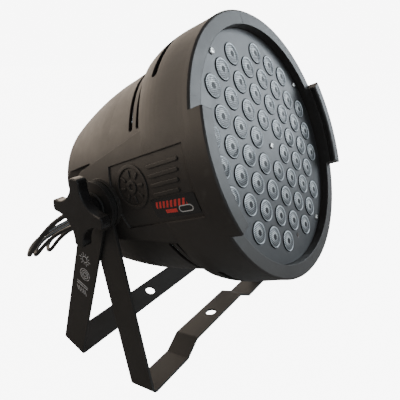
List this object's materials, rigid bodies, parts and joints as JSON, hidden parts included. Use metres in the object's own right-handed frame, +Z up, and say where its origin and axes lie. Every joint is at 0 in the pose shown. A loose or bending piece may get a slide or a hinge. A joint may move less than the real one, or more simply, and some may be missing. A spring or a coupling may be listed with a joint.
{
  "type": "LED par can light",
  "caption": "Round stage light with a honeycomb lens field, black moulded head, double strap yoke with star knobs, rear panel, mains lead and signal leads.",
  "frame": {"origin": "centre of the footprint on the floor, under the light, leads left out", "axes": "+X along the tilt axis, the beam points to -Y and up, +Z up"},
  "size_m": [0.4379, 0.5235, 0.3536],
  "materials": {
    "abs": "moulded black ABS, fine texture",
    "plate": "black lens plate, satin",
    "lens": "moulded clear acrylic lens with a honeycomb inside",
    "holder": "black lens holder",
    "led": "LED chip under a clear dome",
    "board": "circuit board",
    "metal_raw": "extruded aluminium",
    "zinc": "zinc-plated steel",
    "strap": "black powder coat",
    "knob": "black moulded knob",
    "washer": "black friction washer",
    "brass": "threaded brass insert",
    "fan": "black fan",
    "sheet": "folded steel sheet",
    "label": "black label",
    "emblem": "raised emblem",
    "window": "dark display window",
    "button": "black button cap",
    "parts": "electronic parts",
    "cord": "black PVC cord",
    "plug": "black moulded plug"
  },
  "bodies": {
    "head": {"lens_plate": "plate", "lenses": "lens", "lens_holders": "holder", "led_chips": "led", "led_board": "board", "centre_post": "zinc", "plate_screws": "zinc", "sensor_window": "lens", "shell_left": "abs", "shell_right": "abs", "seam_screws": "zinc", "thread_insert_left": "brass", "friction_pad_left": "washer", "thread_insert_right": "brass", "friction_pad_right": "washer", "rear_housing": "abs", "frame_screws": "zinc", "heatsink": "metal_raw", "fan_frame": "fan", "fan_screws": "zinc", "chassis_plate": "sheet", "power_board": "board", "power_parts": "parts", "control_board": "board", "button_switches": "holder", "display_module": "parts", "rear_panel": "plate", "display_window": "window", "panel_screws": "zinc", "label_plate": "label", "emblem": "emblem", "mains_gland": "plug", "mains_lead": "cord", "mains_coil": "cord", "mains_tail": "cord", "mains_plug": "plug", "signal_in_gland": "plug", "signal_in_lead": "cord", "signal_in_plug": "plug", "signal_out_gland": "plug", "signal_out_lead": "cord", "signal_out_plug": "plug"},
    "rear_yoke": {"rear_yoke": "strap"},
    "front_yoke": {"front_yoke": "strap"},
    "fan_rotor": {"fan_rotor": "fan"},
    "washer_left": {"washer_left": "washer"},
    "knob_left": {"knob_left": "knob", "knob_stud_left": "zinc"},
    "washer_right": {"washer_right": "washer"},
    "knob_right": {"knob_right": "knob", "knob_stud_right": "zinc"},
    "button_1": {"button_1": "button"},
    "button_2": {"button_2": "button"},
    "button_3": {"button_3": "button"},
    "button_4": {"button_4": "button"}
  },
  "joints": [
    {"name": "rear_yoke_tilt", "type": "hinge", "parent": "head", "child": "rear_yoke", "pos_m": [0, 0.01887, 0.19356], "axis": [1, 0, 0], "range_deg": [-200, 28]},
    {"name": "front_yoke_tilt", "type": "hinge", "parent": "head", "child": "front_yoke", "pos_m": [0, 0.01887, 0.19356], "axis": [1, 0, 0], "range_deg": [-170, 55]},
    {"name": "washer_left_slide", "type": "slide", "parent": "head", "child": "washer_left", "axis": [-1, 0, 0], "range_m": [0, 0.00188]},
    {"name": "knob_left_turn", "type": "hinge", "parent": "washer_left", "child": "knob_left", "pos_m": [0, 0.01887, 0.19356], "axis": [-1, 0, 0], "range_deg": [0, 540]},
    {"name": "washer_right_slide", "type": "slide", "parent": "head", "child": "washer_right", "axis": [1, 0, 0], "range_m": [0, 0.00188]},
    {"name": "knob_right_turn", "type": "hinge", "parent": "washer_right", "child": "knob_right", "pos_m": [0, 0.01887, 0.19356], "axis": [1, 0, 0], "range_deg": [0, 540]},
    {"name": "fan_spin", "type": "hinge", "parent": "head", "child": "fan_rotor", "pos_m": [0, -0.02788, 0.21344], "axis": [0, 0.9202, -0.3914], "continuous": true},
    {"name": "button_1_press", "type": "slide", "parent": "head", "child": "button_1", "axis": [0, -0.9202, 0.3914], "range_m": [0, 0.0008], "stiffness_N_per_m": 500, "springref_m": -0.001},
    {"name": "button_2_press", "type": "slide", "parent": "head", "child": "button_2", "axis": [0, -0.9202, 0.3914], "range_m": [0, 0.0008], "stiffness_N_per_m": 500, "springref_m": -0.001},
    {"name": "button_3_press", "type": "slide", "parent": "head", "child": "button_3", "axis": [0, -0.9202, 0.3914], "range_m": [0, 0.0008], "stiffness_N_per_m": 500, "springref_m": -0.001},
    {"name": "button_4_press", "type": "slide", "parent": "head", "child": "button_4", "axis": [0, -0.9202, 0.3914], "range_m": [0, 0.0008], "stiffness_N_per_m": 500, "springref_m": -0.001}
  ],
  "couplings": [
    {"joint": "washer_left_slide", "follows": "knob_left_turn", "m_per_rad": 0.00019894},
    {"joint": "washer_right_slide", "follows": "knob_right_turn", "m_per_rad": 0.00019894}
  ]
}
